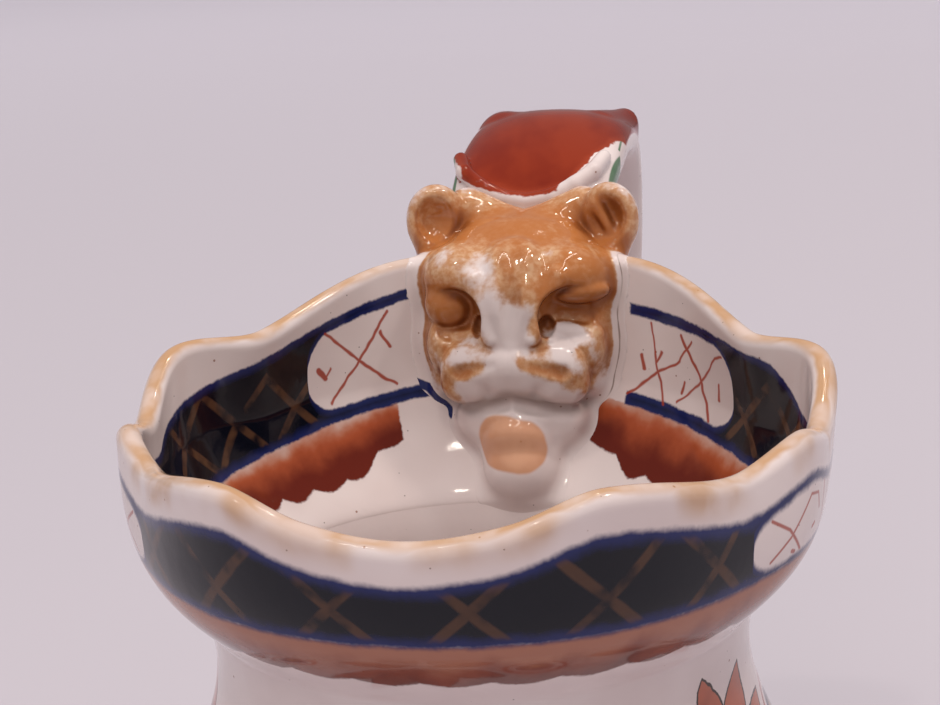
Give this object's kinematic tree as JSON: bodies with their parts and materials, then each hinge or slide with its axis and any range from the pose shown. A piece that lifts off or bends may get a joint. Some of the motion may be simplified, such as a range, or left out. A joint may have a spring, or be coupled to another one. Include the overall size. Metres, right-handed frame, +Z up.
{
  "type": "cream jug",
  "caption": "Footed cream jug with a scalloped flaring collar, a pouring lip, and a strap handle whose upper end is an animal's head leaning over the rim.",
  "frame": {"origin": "centre of the foot ring's underside, on the table", "axes": "+Z up; -Y towards the pouring lip; +Y towards the handle; +X to the right seen from the pouring lip's side"},
  "size_m": [0.086, 0.138, 0.1184],
  "materials": {
    "glaze_white": "clear glossy glaze over white body",
    "glaze_collar": "glossy glaze with cobalt blue, iron red and copper lustre bands",
    "glaze_fawn": "glossy glaze with an ochre wash",
    "glaze_flesh": "glossy glaze with a peach wash",
    "glaze_red": "glossy glaze with iron red enamel"
  },
  "bodies": {
    "root": {"body": "glaze_white", "foot_ring": "glaze_white", "collar": "glaze_collar", "head": "glaze_fawn", "ear_left": "glaze_fawn", "ear_right": "glaze_fawn", "lower_jaw": "glaze_white", "tongue": "glaze_flesh", "handle": "glaze_white", "thumb_rest": "glaze_red", "lower_terminal": "glaze_white"}
  },
  "joints": []
}
